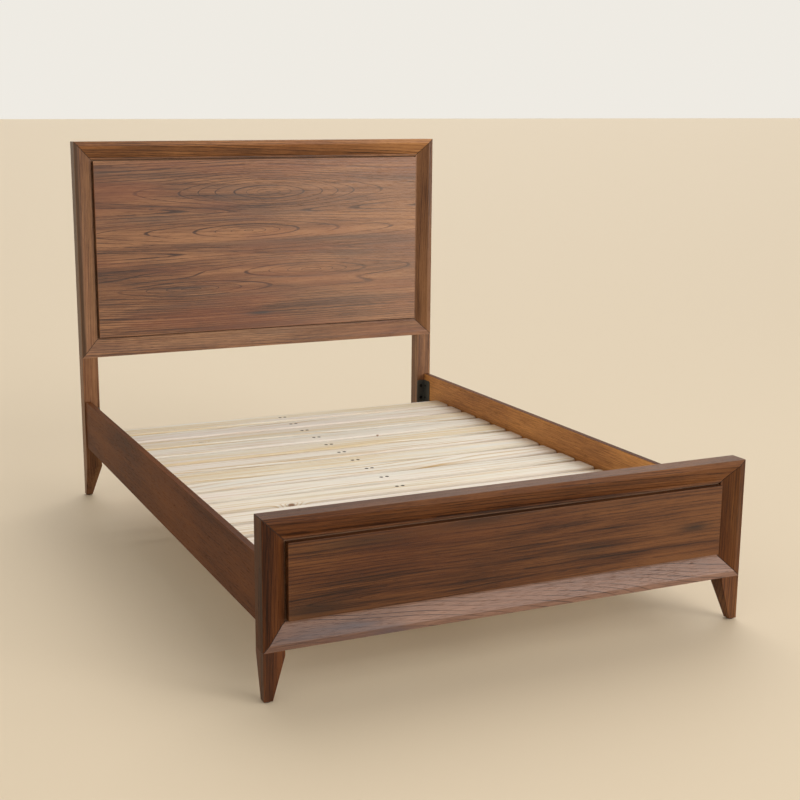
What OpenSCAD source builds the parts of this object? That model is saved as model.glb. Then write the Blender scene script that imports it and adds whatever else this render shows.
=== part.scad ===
// Wooden bed frame for a full size mattress. A framed and panelled headboard and footboard stand on
// tapered legs. Two side rails hang between them on steel corner brackets, and fifteen slats lie on the
// rails' ledgers and on a centre beam that has three legs of its own, each with a levelling glide.
// X runs across the bed, +Y runs from the foot to the head, +Z is up and the floor is at z = 0.

/* [Mattress] */
// Width of the mattress
mattress_w = 1372; // [1360:1:1380]
// Length of the mattress
mattress_l = 1905; // [1890:1:1920]
// Gap between the mattress and each side rail
side_gap = 9; // [6:0.5:12]
// Gap between the mattress and each board
end_gap = 5; // [5:0.5:10]

/* [Boards] */
// Thickness of the headboard and the footboard, front to back
board_d = 56; // [54:1:62]
// Underside of the headboard's frame
head_low = 535; // [500:5:560]
// Top of the headboard
head_top = 1324; // [1200:1:1400]
// Underside of the footboard's frame
foot_low = 131; // [128:1:140]
// Top of the footboard
foot_top = 473; // [460:1:500]

/* [Frame members] */
// Flat border along the outer edge of a frame member
flat_w = 16.5; // [14:0.5:18]
// Width of the bevel inside the flat border
bevel_w = 42; // [40:0.5:44]
// How far the bevel sinks
bevel_d = 22; // [18:0.5:23]
// Full width of a frame member
member_w = 65.5; // [64:0.5:68]

/* [Panels] */
// Gap around the raised face panel
panel_gap = 4.5; // [3:0.5:6]
// Depth of the face panel's front below the board's front
panel_sink = 6.6; // [5:0.1:9]
// Thickness of the face panel
face_panel_t = 22; // [21:0.5:23]
// Thickness of the back panel, which sits in the frame's groove
back_panel_t = 9; // [6:0.5:9]
// Depth of the groove
groove_d = 10; // [8:0.5:10]
// Chamfer around the front of the face panel
panel_ease = 2; // [1:0.5:3]

/* [Board legs] */
// Width of a leg across the bed
post_w = 58; // [56:1:60]
// Side of the square end of the tapered foot
foot_w = 24.5; // [24:0.5:30]
// Height at which the taper of a foot starts
taper_z = 118; // [105:1:122]
// Thickness of the plastic pad under each foot
pad_t = 3; // [2:0.5:4]

/* [Side rails] */
// Thickness of a side rail
rail_t = 20; // [19:0.5:22]
// Underside of a side rail
rail_low = 194; // [190:1:198]
// Top of a side rail
rail_top = 370; // [360:1:372]
// How far a side rail's outer face is set in from the legs' outer face
rail_inset = 5; // [3:0.5:8]
// Thickness of a slat ledger
ledger_t = 25; // [22:1:28]
// Height of a slat ledger
ledger_h = 40; // [36:1:44]

/* [Corner brackets] */
// Thickness of the bracket's steel
bracket_t = 2.5; // [2:0.1:2.5]
// Height of a bracket
bracket_h = 96; // [90:1:100]
// Top of a bracket
bracket_top = 345; // [340:1:350]
// Length of the plate on the post
post_plate_w = 33; // [30:1:33]
// Length of the plate on the rail
rail_plate_w = 50; // [44:1:50]
// Distance of the upper fastener row from the bracket's top
row_drop = 23; // [20:1:26]
// Distance between the two fastener rows
row_step = 50; // [45:1:54]

/* [Slats] */
// Width of a slat
slat_w = 94; // [88:1:96]
// Thickness of a slat
slat_t = 18; // [16:0.5:19]
// Radius along the edges of a slat
slat_r = 4; // [2:0.5:6]
// Top of the slats
slat_top = 284; // [280:1:288]
// Bare length of rail between the headboard and the first slat
head_bare = 133; // [120:1:140]
// Bare length of rail between the last slat and the footboard
foot_bare = 57; // [56:1:70]
// Gap between each end of a slat and the rail
slat_end_gap = 3; // [2:0.5:5]

/* [Centre support] */
// Width of the centre beam
beam_w = 45; // [40:1:50]
// Height of the centre beam
beam_h = 60; // [55:1:70]
// Side of a centre leg
centre_leg_w = 45; // [40:1:50]
// Distance between neighbouring centre legs
centre_leg_step = 560; // [500:5:600]
// Gap between the floor and a centre leg, which the levelling glide fills
glide_gap = 14; // [13:0.5:18]
// Radius of a glide's plastic base
glide_r = 15; // [12:0.5:18]
// Height of a glide's plastic base
glide_h = 6; // [5:0.5:7]

/* [Hidden] */
$fn = 48;
SLATS = 15;

// Colours
walnut = [0.46, 0.31, 0.22];
walnut_dark = [0.36, 0.22, 0.15];
pine = [0.89, 0.83, 0.72];
plywood = [0.72, 0.58, 0.42];
beech = [0.82, 0.66, 0.46];
black_steel = [0.20, 0.19, 0.18];
zinc = [0.66, 0.67, 0.68];
brass = [0.78, 0.62, 0.30];
black_nylon = [0.08, 0.08, 0.08];

// Overall sizes
inside_w = mattress_w + 2 * side_gap;
inside_l = mattress_l + 2 * end_gap;
bed_w = inside_w + 2 * (rail_t + rail_inset);
bed_l = inside_l + 2 * board_d;
rail_face_x = inside_w / 2;
board_face_y = inside_l / 2;
head_front_y = board_face_y;
foot_front_y = -bed_l / 2;

// Clearances: a cut runs past a face by "over", and glued or screwed pieces keep "slip" around them
over = 1;
slip = 0.1;

// Depths from the front of a board
groove_front = panel_sink + face_panel_t;
groove_t = back_panel_t + 2 * slip;
mitre_pin_depth = 24;
leg_pin_depth = 38;

// Dowels across each mitre: distances of their middles from the outer corner, along both edges
mitre_dowel_r = 4;
mitre_dowel_l = 40;
mitre_steps = [24, 44];

// Dowels and stud between a board's frame and a leg: distances from the leg's outer face
leg_dowel_r = 5;
leg_dowel_l = 62;
leg_dowel_steps = [16, 42];
leg_stud_r = 4;
leg_stud_l = 90;
leg_stud_step = post_w / 2;

// Screws: [length, shank radius, head radius, head height]
panel_screw = [26, 1.75, 3.5, 2];
ledger_screw = [40, 2.25, 4.5, 2.6];
slat_screw = [45, 2, 4, 2.4];
panel_screw_inset = 45;
ledger_screws_per_side = 7;
slat_screw_x = 10;

// Bracket fasteners
bolt_r = 4;
bolt_l = 22;
bolt_head_r = 6.5;
insert_r = 6;
insert_l = 20;
bolt_hole_l = 24;
bracket_screw_r = 2.25;
bracket_screw_l = 15;
bracket_head_r = 4.5;
head_h = 2.3;
screw_from_fold = 14;
bolt_hole_play = 0.3;
bracket_round = 8;

// Slats and their support
slat_low = slat_top - slat_t;
slat_l = inside_w - 2 * slat_end_gap;
first_slat_y = board_face_y - head_bare - slat_w / 2;
last_slat_y = -board_face_y + foot_bare + slat_w / 2;
slat_pitch = (first_slat_y - last_slat_y) / (SLATS - 1);
ledger_end_gap = 55;
ledger_l = inside_l - 2 * ledger_end_gap;
beam_low = slat_low - beam_h;
beam_l = first_slat_y - last_slat_y + slat_w;
beam_y = (first_slat_y + last_slat_y) / 2;
centre_stud_l = 80;

// Levelling glide
glide_stud_r = 4;
glide_stud_top = 50;
glide_insert_l = 25;
glide_play = 0.08;
glide_hole_top = 62;
pad_r = 9.5;
pad_pin_r = 1.2;
pad_pin_l = 14;

function slat_name(i) = str("slat_", i < 10 ? "0" : "", i);
function slat_y(i) = first_slat_y - (i - 1) * slat_pitch;
function centre_leg_y(i) = beam_y + i * centre_leg_step;
function ledger_screw_y(i) = (i - (ledger_screws_per_side - 1) / 2) * ledger_l / ledger_screws_per_side;

// ---- Shared shapes ----

// A box from its low corner to its high corner
module box(low, high) {
    translate(low) cube(high - low);
}

// A countersunk wood screw pointing down from z = 0; grow makes the hole for it
module wood_screw(size, grow = 0) {
    shank_r = size[1] + grow;
    cap_r = size[2] + grow;
    end_z = -size[0] - grow;
    point_h = 1.5 * size[1];
    top_z = grow > 0 ? over : 0;
    rotate_extrude() polygon([
        [0, top_z], [cap_r, top_z], [cap_r, 0], [shank_r, -size[3]],
        [shank_r, end_z + point_h], [0, end_z]
    ]);
}

// ---- Headboard and footboard frames, in board coordinates: the front is y = 0 and the back y = board_d ----

// A frame member of length len along X. Its outer edge is z = 0, it grows inward to +Z, and both ends
// are mitred at 45 degrees. Its outline is [depth, distance inward].
module frame_member(len) {
    intersection() {
        translate([-len / 2, 0, 0]) rotate([90, 0, 90]) linear_extrude(len) polygon([
            [0, 0], [board_d, 0], [board_d, member_w],
            [groove_front + groove_t, member_w], [groove_front + groove_t, member_w - groove_d],
            [groove_front, member_w - groove_d], [groove_front, member_w],
            [bevel_d, member_w], [bevel_d, flat_w + bevel_w], [0, flat_w]
        ]);
        translate([0, board_d + over, 0]) rotate([90, 0, 0]) linear_extrude(board_d + 2 * over) polygon([
            [-len / 2 - over, -over], [len / 2 + over, -over],
            [len / 2 - member_w - over, member_w + over], [-len / 2 + member_w + over, member_w + over]
        ]);
    }
}

// The dowels across the four mitres of a board
module mitre_pins(low, top, grow = 0) {
    for (side = [-1, 1], end = [[low, 1], [top, -1]], step = mitre_steps)
        translate([side * (bed_w / 2 - step), mitre_pin_depth, end[0] + end[1] * step])
            rotate([0, 45 * side * end[1], 0])
                cylinder(r = mitre_dowel_r + grow, h = mitre_dowel_l + 2 * grow, center = true);
}

// The dowels between a board and its legs
module leg_pins(low, grow = 0) {
    for (side = [-1, 1], step = leg_dowel_steps)
        translate([side * (bed_w / 2 - step), leg_pin_depth, low])
            cylinder(r = leg_dowel_r + grow, h = leg_dowel_l + 2 * grow, center = true);
}

// The threaded studs between a board and its legs
module leg_stud_pins(low, grow = 0) {
    for (side = [-1, 1])
        translate([side * (bed_w / 2 - leg_stud_step), leg_pin_depth, low])
            cylinder(r = leg_stud_r + grow, h = leg_stud_l + 2 * grow, center = true);
}

// Every hole that a board's frame needs for its dowels and studs
module frame_holes(low, top) {
    mitre_pins(low, top, slip);
    leg_pins(low, slip);
    leg_stud_pins(low, slip);
}

module bottom_rail(low, top) {
    difference() {
        translate([0, 0, low]) frame_member(bed_w);
        frame_holes(low, top);
    }
}

module top_rail(low, top) {
    difference() {
        translate([0, 0, top]) mirror([0, 0, 1]) frame_member(bed_w);
        mitre_pins(low, top, slip);
    }
}

// A stile; side is -1 on the left and 1 on the right
module stile(side, low, top) {
    difference() {
        scale([-side, 1, 1])
            translate([-bed_w / 2, 0, (low + top) / 2]) rotate([0, 90, 0]) frame_member(top - low);
        frame_holes(low, top);
    }
}

// The raised face panel, with a chamfer around its front
module face_panel(low, top) {
    half_w = bed_w / 2 - member_w - panel_gap;
    z0 = low + member_w + panel_gap;
    z1 = top - member_w - panel_gap;
    front = panel_sink;
    back = panel_sink + face_panel_t;
    e = panel_ease;
    intersection() {
        translate([0, 0, z0 - over]) linear_extrude(z1 - z0 + 2 * over) polygon([
            [-half_w, front + e], [-half_w + e, front], [half_w - e, front], [half_w, front + e],
            [half_w, back], [-half_w, back]
        ]);
        translate([-half_w - over, 0, 0]) rotate([90, 0, 90]) linear_extrude(2 * (half_w + over)) polygon([
            [front + e, z0], [back, z0], [back, z1], [front + e, z1], [front, z1 - e], [front, z0 + e]
        ]);
    }
}

// The thin back panel that sits in the frame's groove and carries the face panel
module back_panel(low, top) {
    half_w = bed_w / 2 - member_w + groove_d - over;
    y0 = groove_front + slip;
    box([-half_w, y0, low + member_w - groove_d + over], [half_w, y0 + back_panel_t, top - member_w + groove_d - over]);
}

// The screws from the back panel into the face panel, in two rows of count
module panel_screw_rows(low, top, count, grow = 0) {
    span = bed_w - 2 * (member_w + panel_gap + panel_screw_inset);
    for (z = [low + member_w + panel_gap + panel_screw_inset, top - member_w - panel_gap - panel_screw_inset])
        for (i = [0:count - 1])
            translate([-span / 2 + i * span / (count - 1), groove_front + slip + back_panel_t, z])
                rotate([-90, 0, 0]) wood_screw(panel_screw, grow);
}

// A leg under the left end of a board. straight is the depth of its vertical face, front or back.
module board_leg(low, straight) {
    away = straight == 0 ? 1 : -1;
    z_mid = taper_z;
    difference() {
        intersection() {
            translate([-bed_w / 2, board_d + over, 0]) rotate([90, 0, 0])
                linear_extrude(board_d + 2 * over) polygon([
                    [0, pad_t], [foot_w, pad_t], [post_w, z_mid], [post_w, low], [0, low]
                ]);
            translate([-bed_w / 2 - over, straight, 0]) rotate([90, 0, 90])
                linear_extrude(post_w + 2 * over) polygon([
                    [0, pad_t], [away * foot_w, pad_t], [away * board_d, z_mid],
                    [away * board_d, low], [0, low]
                ]);
        }
        leg_pins(low, slip);
        leg_stud_pins(low, slip);
        translate([-bed_w / 2 + foot_w / 2, straight + away * foot_w / 2, 0])
            cylinder(r = pad_pin_r + slip, h = pad_t + pad_pin_l + slip);
    }
}

// ---- Corner brackets, drawn for the head end of the right rail ----

// A copy of the children at every corner: the head and foot ends of both rails
module at_corners() {
    for (side = [-1, 1], end = [-1, 1]) at_corner(side, end) children();
}

module at_corner(side, end) {
    mirror([side < 0 ? 1 : 0, 0, 0]) mirror([0, end < 0 ? 1 : 0, 0]) children();
}

function row_z(row) = bracket_top - row_drop - row * row_step;

// A plate in the XZ plane from x = 0 to x = len with its two outer corners rounded, t thick along +Y
module rounded_plate(len, t) {
    z0 = bracket_top - bracket_h;
    box([0, 0, z0], [len - bracket_round, t, bracket_top]);
    box([0, 0, z0 + bracket_round], [len, t, bracket_top - bracket_round]);
    for (z = [z0 + bracket_round, bracket_top - bracket_round])
        translate([len - bracket_round, t, z]) rotate([90, 0, 0]) cylinder(r = bracket_round, h = t);
}

// The axes of the bolts into the post: the children point along +Y from the board's face
module at_bolts() {
    for (row = [0, 1]) translate([rail_face_x - post_plate_w / 2, board_face_y, row_z(row)]) rotate([-90, 0, 0]) children();
}

// The axes of the screws into the rail: the children point along +X from the rail's inner face
module at_rail_screws() {
    for (row = [0, 1]) translate([rail_face_x, board_face_y - screw_from_fold, row_z(row)]) rotate([0, 90, 0]) children();
}

module corner_bracket(side, end) {
    at_corner(side, end) difference() {
        union() {
            translate([rail_face_x, board_face_y - bracket_t, 0]) mirror([1, 0, 0])
                rounded_plate(post_plate_w, bracket_t);
            translate([rail_face_x - bracket_t, board_face_y, 0]) rotate([0, 0, -90])
                rounded_plate(rail_plate_w, bracket_t);
        }
        at_bolts() translate([0, 0, -2 * bracket_t])
            cylinder(r = bolt_r + bolt_hole_play, h = 3 * bracket_t);
        at_rail_screws() translate([0, 0, -2 * bracket_t])
            cylinder(r = bracket_screw_r + bolt_hole_play, h = 3 * bracket_t);
    }
}

// The holes for the threaded inserts in the posts, at all four corners
module insert_holes() {
    at_corners() at_bolts() translate([0, 0, -over]) cylinder(r = insert_r + slip, h = bolt_hole_l + over);
}

// ---- Nodes: fasteners of the boards ----

module mitre_dowels() {
    color(beech) {
        translate([0, head_front_y, 0]) mitre_pins(head_low, head_top);
        translate([0, foot_front_y, 0]) mitre_pins(foot_low, foot_top);
    }
}

module leg_dowels() {
    color(beech) {
        translate([0, head_front_y, 0]) leg_pins(head_low);
        translate([0, foot_front_y, 0]) leg_pins(foot_low);
    }
}

module leg_studs() {
    color(zinc) {
        translate([0, head_front_y, 0]) leg_stud_pins(head_low);
        translate([0, foot_front_y, 0]) leg_stud_pins(foot_low);
    }
}

module all_panel_screws(grow = 0) {
    translate([0, head_front_y, 0]) panel_screw_rows(head_low, head_top, 5, grow);
    translate([0, foot_front_y, 0]) panel_screw_rows(foot_low, foot_top, 5, grow);
}

module panel_screws() {
    color(zinc) all_panel_screws();
}

// A plastic pad under each of the four feet, with the pin that holds it
module foot_pads() {
    pad_x = bed_w / 2 - foot_w / 2;
    pad_y = bed_l / 2 - foot_w / 2;
    color(black_nylon) for (x = [-pad_x, pad_x], y = [-pad_y, pad_y]) translate([x, y, 0]) {
        cylinder(r = pad_r, h = pad_t);
        cylinder(r = pad_pin_r, h = pad_t + pad_pin_l);
    }
}

// ---- Nodes: headboard ----

module head() {
    color(walnut) translate([0, head_front_y, 0]) children();
}

module headboard_top_rail() {
    head() top_rail(head_low, head_top);
}

module headboard_bottom_rail() {
    head() bottom_rail(head_low, head_top);
}

module headboard_stile(side) {
    head() stile(side, head_low, head_top);
}

module headboard_face_panel() {
    color(walnut_dark) difference() {
        translate([0, head_front_y, 0]) face_panel(head_low, head_top);
        all_panel_screws(slip);
    }
}

module headboard_back_panel() {
    color(plywood) difference() {
        translate([0, head_front_y, 0]) back_panel(head_low, head_top);
        all_panel_screws(slip);
    }
}

// A headboard leg; side is -1 on the left and 1 on the right
module headboard_leg(side) {
    color(walnut) difference() {
        scale([-side, 1, 1]) translate([0, head_front_y, 0]) board_leg(head_low, board_d);
        insert_holes();
    }
}

// ---- Nodes: footboard ----

module foot() {
    color(walnut) translate([0, foot_front_y, 0]) children();
}

module footboard_top_rail() {
    foot() top_rail(foot_low, foot_top);
}

module footboard_bottom_rail() {
    foot() bottom_rail(foot_low, foot_top);
}

module footboard_stile(side) {
    difference() {
        foot() stile(side, foot_low, foot_top);
        insert_holes();
    }
}

module footboard_face_panel() {
    color(walnut_dark) difference() {
        translate([0, foot_front_y, 0]) face_panel(foot_low, foot_top);
        all_panel_screws(slip);
    }
}

module footboard_back_panel() {
    color(plywood) difference() {
        translate([0, foot_front_y, 0]) back_panel(foot_low, foot_top);
        all_panel_screws(slip);
    }
}

// A footboard leg; side is -1 on the left and 1 on the right
module footboard_leg(side) {
    foot() scale([-side, 1, 1]) board_leg(foot_low, 0);
}

// ---- Nodes: side rails, ledgers and brackets ----

// The screws through both ledgers into the rails
module ledger_screw_rows(grow = 0) {
    for (side = [-1, 1], i = [0:ledger_screws_per_side - 1])
        translate([side * (rail_face_x - ledger_t), ledger_screw_y(i), slat_low - ledger_h / 2])
            rotate([0, -90 * side, 0]) wood_screw(ledger_screw, grow);
}

// The holes for the brackets' screws in both rails
module bracket_screw_holes() {
    at_corners() at_rail_screws() translate([0, 0, -over]) cylinder(r = bracket_screw_r + slip, h = bracket_screw_l + over);
}

module side_rail(side) {
    color(walnut) difference() {
        scale([side, 1, 1])
            box([rail_face_x, -board_face_y, rail_low], [rail_face_x + rail_t, board_face_y, rail_top]);
        ledger_screw_rows(slip);
        bracket_screw_holes();
    }
}

module slat_ledger(side) {
    color(pine) difference() {
        scale([side, 1, 1])
            box([rail_face_x - ledger_t, -ledger_l / 2, slat_low - ledger_h], [rail_face_x, ledger_l / 2, slat_low]);
        ledger_screw_rows(slip);
    }
}

module ledger_screws() {
    color(zinc) ledger_screw_rows();
}

module bracket(side, end) {
    color(black_steel) corner_bracket(side, end);
}

// Flat headed bolts through the brackets into the posts
module bracket_bolts() {
    color(black_steel) at_corners() at_bolts() {
        translate([0, 0, -bracket_t - head_h]) cylinder(r = bolt_head_r, h = head_h);
        translate([0, 0, -bracket_t]) cylinder(r = bolt_r, h = bolt_l);
    }
}

// Threaded inserts in the posts, which take the bolts
module bracket_inserts() {
    color(brass) at_corners() at_bolts() difference() {
        cylinder(r = insert_r, h = insert_l);
        translate([0, 0, -over]) cylinder(r = bolt_r + slip, h = insert_l + 2 * over);
    }
}

// Flat headed screws through the brackets into the rails
module bracket_screws() {
    color(black_steel) at_corners() at_rail_screws() {
        translate([0, 0, -bracket_t - head_h]) cylinder(r = bracket_head_r, h = head_h);
        translate([0, 0, -bracket_t]) cylinder(r = bracket_screw_r, h = bracket_t + bracket_screw_l - slip);
    }
}

// ---- Nodes: slats and centre support ----

// A pair of screws at the middle of slat i, into the centre beam
module slat_screw_pair(i, grow = 0) {
    for (side = [-1, 1])
        translate([side * slat_screw_x, slat_y(i), slat_top]) wood_screw(slat_screw, grow);
}

// Slat number i, counted from the headboard, with rounded long edges
module slat(i) {
    half_l = slat_l / 2;
    half_w = slat_w / 2;
    color(pine) difference() {
        translate([0, slat_y(i), slat_low]) {
            box([-half_l, -half_w + slat_r, 0], [half_l, half_w - slat_r, slat_t]);
            box([-half_l, -half_w, slat_r], [half_l, half_w, slat_t - slat_r]);
            for (y = [-half_w + slat_r, half_w - slat_r], z = [slat_r, slat_t - slat_r])
                translate([-half_l, y, z]) rotate([0, 90, 0]) cylinder(r = slat_r, h = slat_l);
        }
        slat_screw_pair(i, slip);
    }
}

module slat_screws() {
    color(zinc) for (i = [1:SLATS]) slat_screw_pair(i);
}

module centre_beam() {
    color(pine) difference() {
        translate([0, beam_y, 0]) box([-beam_w / 2, -beam_l / 2, beam_low], [beam_w / 2, beam_l / 2, slat_low]);
        for (i = [1:SLATS]) slat_screw_pair(i, slip);
        centre_stud_pins(slip);
    }
}

// The studs that hold the centre legs to the beam
module centre_stud_pins(grow = 0) {
    for (i = [-1:1])
        translate([0, centre_leg_y(i), beam_low])
            cylinder(r = leg_stud_r + grow, h = centre_stud_l + 2 * grow, center = true);
}

module centre_leg_studs() {
    color(zinc) centre_stud_pins();
}

// Centre leg i: 1 is nearest the head, 0 is in the middle and -1 is nearest the foot
module centre_leg(i) {
    half = centre_leg_w / 2;
    color(pine) difference() {
        translate([0, centre_leg_y(i), 0]) box([-half, -half, glide_gap], [half, half, beam_low]);
        centre_stud_pins(slip);
        translate([0, centre_leg_y(i), 0]) {
            cylinder(r = insert_r + slip, h = glide_gap + glide_insert_l);
            cylinder(r = glide_stud_r + 5 * slip, h = glide_hole_top);
        }
    }
}

// Threaded inserts in the lower ends of the centre legs
module glide_inserts() {
    color(brass) for (i = [-1:1]) translate([0, centre_leg_y(i), glide_gap]) difference() {
        cylinder(r = insert_r, h = glide_insert_l);
        translate([0, 0, -over]) cylinder(r = glide_stud_r + glide_play, h = glide_insert_l + 2 * over);
    }
}

// A levelling glide: a plastic base moulded on a threaded stud
module glide(i) {
    color(black_nylon) translate([0, centre_leg_y(i), 0]) {
        cylinder(r = glide_r, h = glide_h);
        cylinder(r = glide_stud_r, h = glide_stud_top);
    }
}

// ---- Drawing ----

headboard_top_rail();
headboard_bottom_rail();
headboard_stile(-1);  // headboard_left_stile
headboard_stile(1);  // headboard_right_stile
headboard_face_panel();
headboard_back_panel();
headboard_leg(-1);  // headboard_left_leg
headboard_leg(1);  // headboard_right_leg
footboard_top_rail();
footboard_bottom_rail();
footboard_stile(-1);  // footboard_left_stile
footboard_stile(1);  // footboard_right_stile
footboard_face_panel();
footboard_back_panel();
footboard_leg(-1);  // footboard_left_leg
footboard_leg(1);  // footboard_right_leg
mitre_dowels();
leg_dowels();
leg_studs();
panel_screws();
foot_pads();
side_rail(-1);  // left_side_rail
side_rail(1);  // right_side_rail
slat_ledger(-1);  // left_slat_ledger
slat_ledger(1);  // right_slat_ledger
ledger_screws();
bracket(-1, 1);  // head_left_bracket
bracket(1, 1);  // head_right_bracket
bracket(-1, -1);  // foot_left_bracket
bracket(1, -1);  // foot_right_bracket
bracket_bolts();
bracket_inserts();
bracket_screws();
for (i = [1:SLATS]) slat(i);
slat_screws();
centre_beam();
centre_leg(1);  // centre_leg_head
centre_leg(0);  // centre_leg_middle
centre_leg(-1);  // centre_leg_foot
centre_leg_studs();
glide_inserts();
glide(1);  // glide_head
glide(0);  // glide_middle
glide(-1);  // glide_foot
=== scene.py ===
from math import pi, radians

import bpy
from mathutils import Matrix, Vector


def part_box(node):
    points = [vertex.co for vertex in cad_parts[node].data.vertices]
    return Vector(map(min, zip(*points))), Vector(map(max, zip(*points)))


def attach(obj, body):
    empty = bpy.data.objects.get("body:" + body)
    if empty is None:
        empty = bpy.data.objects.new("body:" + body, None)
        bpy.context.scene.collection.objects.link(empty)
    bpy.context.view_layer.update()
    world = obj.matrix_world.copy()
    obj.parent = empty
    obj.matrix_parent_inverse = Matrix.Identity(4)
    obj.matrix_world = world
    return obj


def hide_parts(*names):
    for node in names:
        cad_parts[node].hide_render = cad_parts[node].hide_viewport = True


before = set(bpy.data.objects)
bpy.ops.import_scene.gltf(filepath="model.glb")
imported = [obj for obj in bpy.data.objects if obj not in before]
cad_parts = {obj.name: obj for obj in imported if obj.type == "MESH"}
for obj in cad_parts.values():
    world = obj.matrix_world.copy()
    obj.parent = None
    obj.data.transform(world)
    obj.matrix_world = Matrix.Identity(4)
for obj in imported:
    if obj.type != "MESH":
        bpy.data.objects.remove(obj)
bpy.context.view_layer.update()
print("frame loaded:", len(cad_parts), "nodes")

eps = 0.0004  # how close a face or point lies to a place that is picked


# modelling helpers

def deselectAll():
    bpy.ops.object.select_all(action="DESELECT")


def activate(piece):
    deselectAll()
    piece.select_set(True)
    bpy.context.view_layer.objects.active = piece


def named(name):
    piece = bpy.context.object
    piece.name = name
    piece.data.name = name
    return piece


def addBlock(name, low, high):
    deselectAll()
    low, high = Vector(low), Vector(high)
    bpy.ops.mesh.primitive_cube_add(size=1, location=(low + high) / 2)
    bpy.context.object.scale = high - low
    bpy.ops.object.transform_apply(location=True, rotation=True, scale=True)
    return named(name)


def addRod(name, centre, radius, depth, sides=32, turn=(0, 0, 0)):
    deselectAll()
    bpy.ops.mesh.primitive_cylinder_add(
        vertices=sides, radius=radius, depth=depth, location=centre, rotation=turn)
    bpy.ops.object.transform_apply(location=True, rotation=True, scale=True)
    return named(name)


def editFaces(piece, wanted):
    # enters edit mode with the faces picked that wanted(centre, normal) names
    activate(piece)
    bpy.context.tool_settings.mesh_select_mode = (False, False, True)
    bpy.ops.object.mode_set(mode="EDIT")
    bpy.ops.mesh.select_all(action="DESELECT")
    bpy.ops.object.mode_set(mode="OBJECT")
    for face in piece.data.polygons:
        face.select = bool(wanted(face.center, face.normal))
    bpy.ops.object.mode_set(mode="EDIT")


def editPoints(piece, wanted):
    # enters edit mode with the points picked that wanted(place) names
    activate(piece)
    bpy.context.tool_settings.mesh_select_mode = (True, False, False)
    bpy.ops.object.mode_set(mode="EDIT")
    bpy.ops.mesh.select_all(action="DESELECT")
    bpy.ops.object.mode_set(mode="OBJECT")
    for point in piece.data.vertices:
        point.select = bool(wanted(point.co))
    bpy.ops.object.mode_set(mode="EDIT")


def editEdges(piece, wanted):
    # enters edit mode with the edges picked that wanted(end, otherEnd) names
    activate(piece)
    bpy.context.tool_settings.mesh_select_mode = (False, True, False)
    bpy.ops.object.mode_set(mode="EDIT")
    bpy.ops.mesh.select_all(action="DESELECT")
    bpy.ops.object.mode_set(mode="OBJECT")
    points = piece.data.vertices
    for edge in piece.data.edges:
        edge.select = bool(wanted(points[edge.vertices[0]].co, points[edge.vertices[1]].co))
    bpy.ops.object.mode_set(mode="EDIT")


def leaveEdit():
    bpy.ops.object.mode_set(mode="OBJECT")


def cutAcross(piece, place, normal, cutOff=False):
    # cuts through the piece; with cutOff, what lies on the normal's side goes and the cut is closed
    activate(piece)
    bpy.ops.object.mode_set(mode="EDIT")
    bpy.ops.mesh.select_all(action="SELECT")
    bpy.ops.mesh.bisect(plane_co=place, plane_no=normal, use_fill=cutOff, clear_outer=cutOff)
    leaveEdit()


def tidyMesh(piece):
    activate(piece)
    bpy.ops.object.mode_set(mode="EDIT")
    bpy.ops.mesh.select_all(action="SELECT")
    bpy.ops.mesh.remove_doubles(threshold=0.00001)
    bpy.ops.mesh.dissolve_limited(angle_limit=radians(0.5))
    bpy.ops.mesh.normals_make_consistent(inside=False)
    leaveEdit()


def roundEdges(piece, width, segments=3, angle=20):
    activate(piece)
    bevel = piece.modifiers.new("rounding", "BEVEL")
    bevel.width = width
    bevel.segments = segments
    bevel.limit_method = "ANGLE"
    bevel.angle_limit = radians(angle)
    bevel.use_clamp_overlap = True
    bpy.ops.object.modifier_apply(modifier="rounding")


def smooth(piece, angle=35):
    activate(piece)
    bpy.ops.object.shade_smooth_by_angle(angle=radians(angle))
    weighted = piece.modifiers.new("evenShading", "WEIGHTED_NORMAL")
    weighted.keep_sharp = True
    bpy.ops.object.modifier_apply(modifier="evenShading")


def place(piece, turn=(0, 0, 0), move=(0, 0, 0)):
    activate(piece)
    piece.rotation_euler = turn
    piece.location = move
    bpy.ops.object.transform_apply(location=True, rotation=True, scale=True)


def cutWith(piece, cutter):
    activate(piece)
    boolean = piece.modifiers.new("cut", "BOOLEAN")
    boolean.object = cutter
    boolean.operation = "DIFFERENCE"
    boolean.solver = "EXACT"
    bpy.ops.object.modifier_apply(modifier="cut")
    bpy.data.objects.remove(cutter, do_unlink=True)


def join(pieces, name):
    deselectAll()
    for piece in pieces:
        piece.select_set(True)
    bpy.context.view_layer.objects.active = pieces[0]
    if len(pieces) > 1:
        bpy.ops.object.join()
    return named(name)


def copyOf(piece, name):
    twin = piece.copy()
    twin.data = piece.data.copy()
    twin.name = name
    twin.data.name = name
    bpy.context.collection.objects.link(twin)
    return twin


def standIn(piece, body, nodes, material=None):
    # the piece rides on its body, stands for its nodes and takes its material
    if material:
        piece.data.materials.clear()
        piece.data.materials.append(material)
    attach(piece, body)
    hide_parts(*nodes)


# shader helpers

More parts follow.
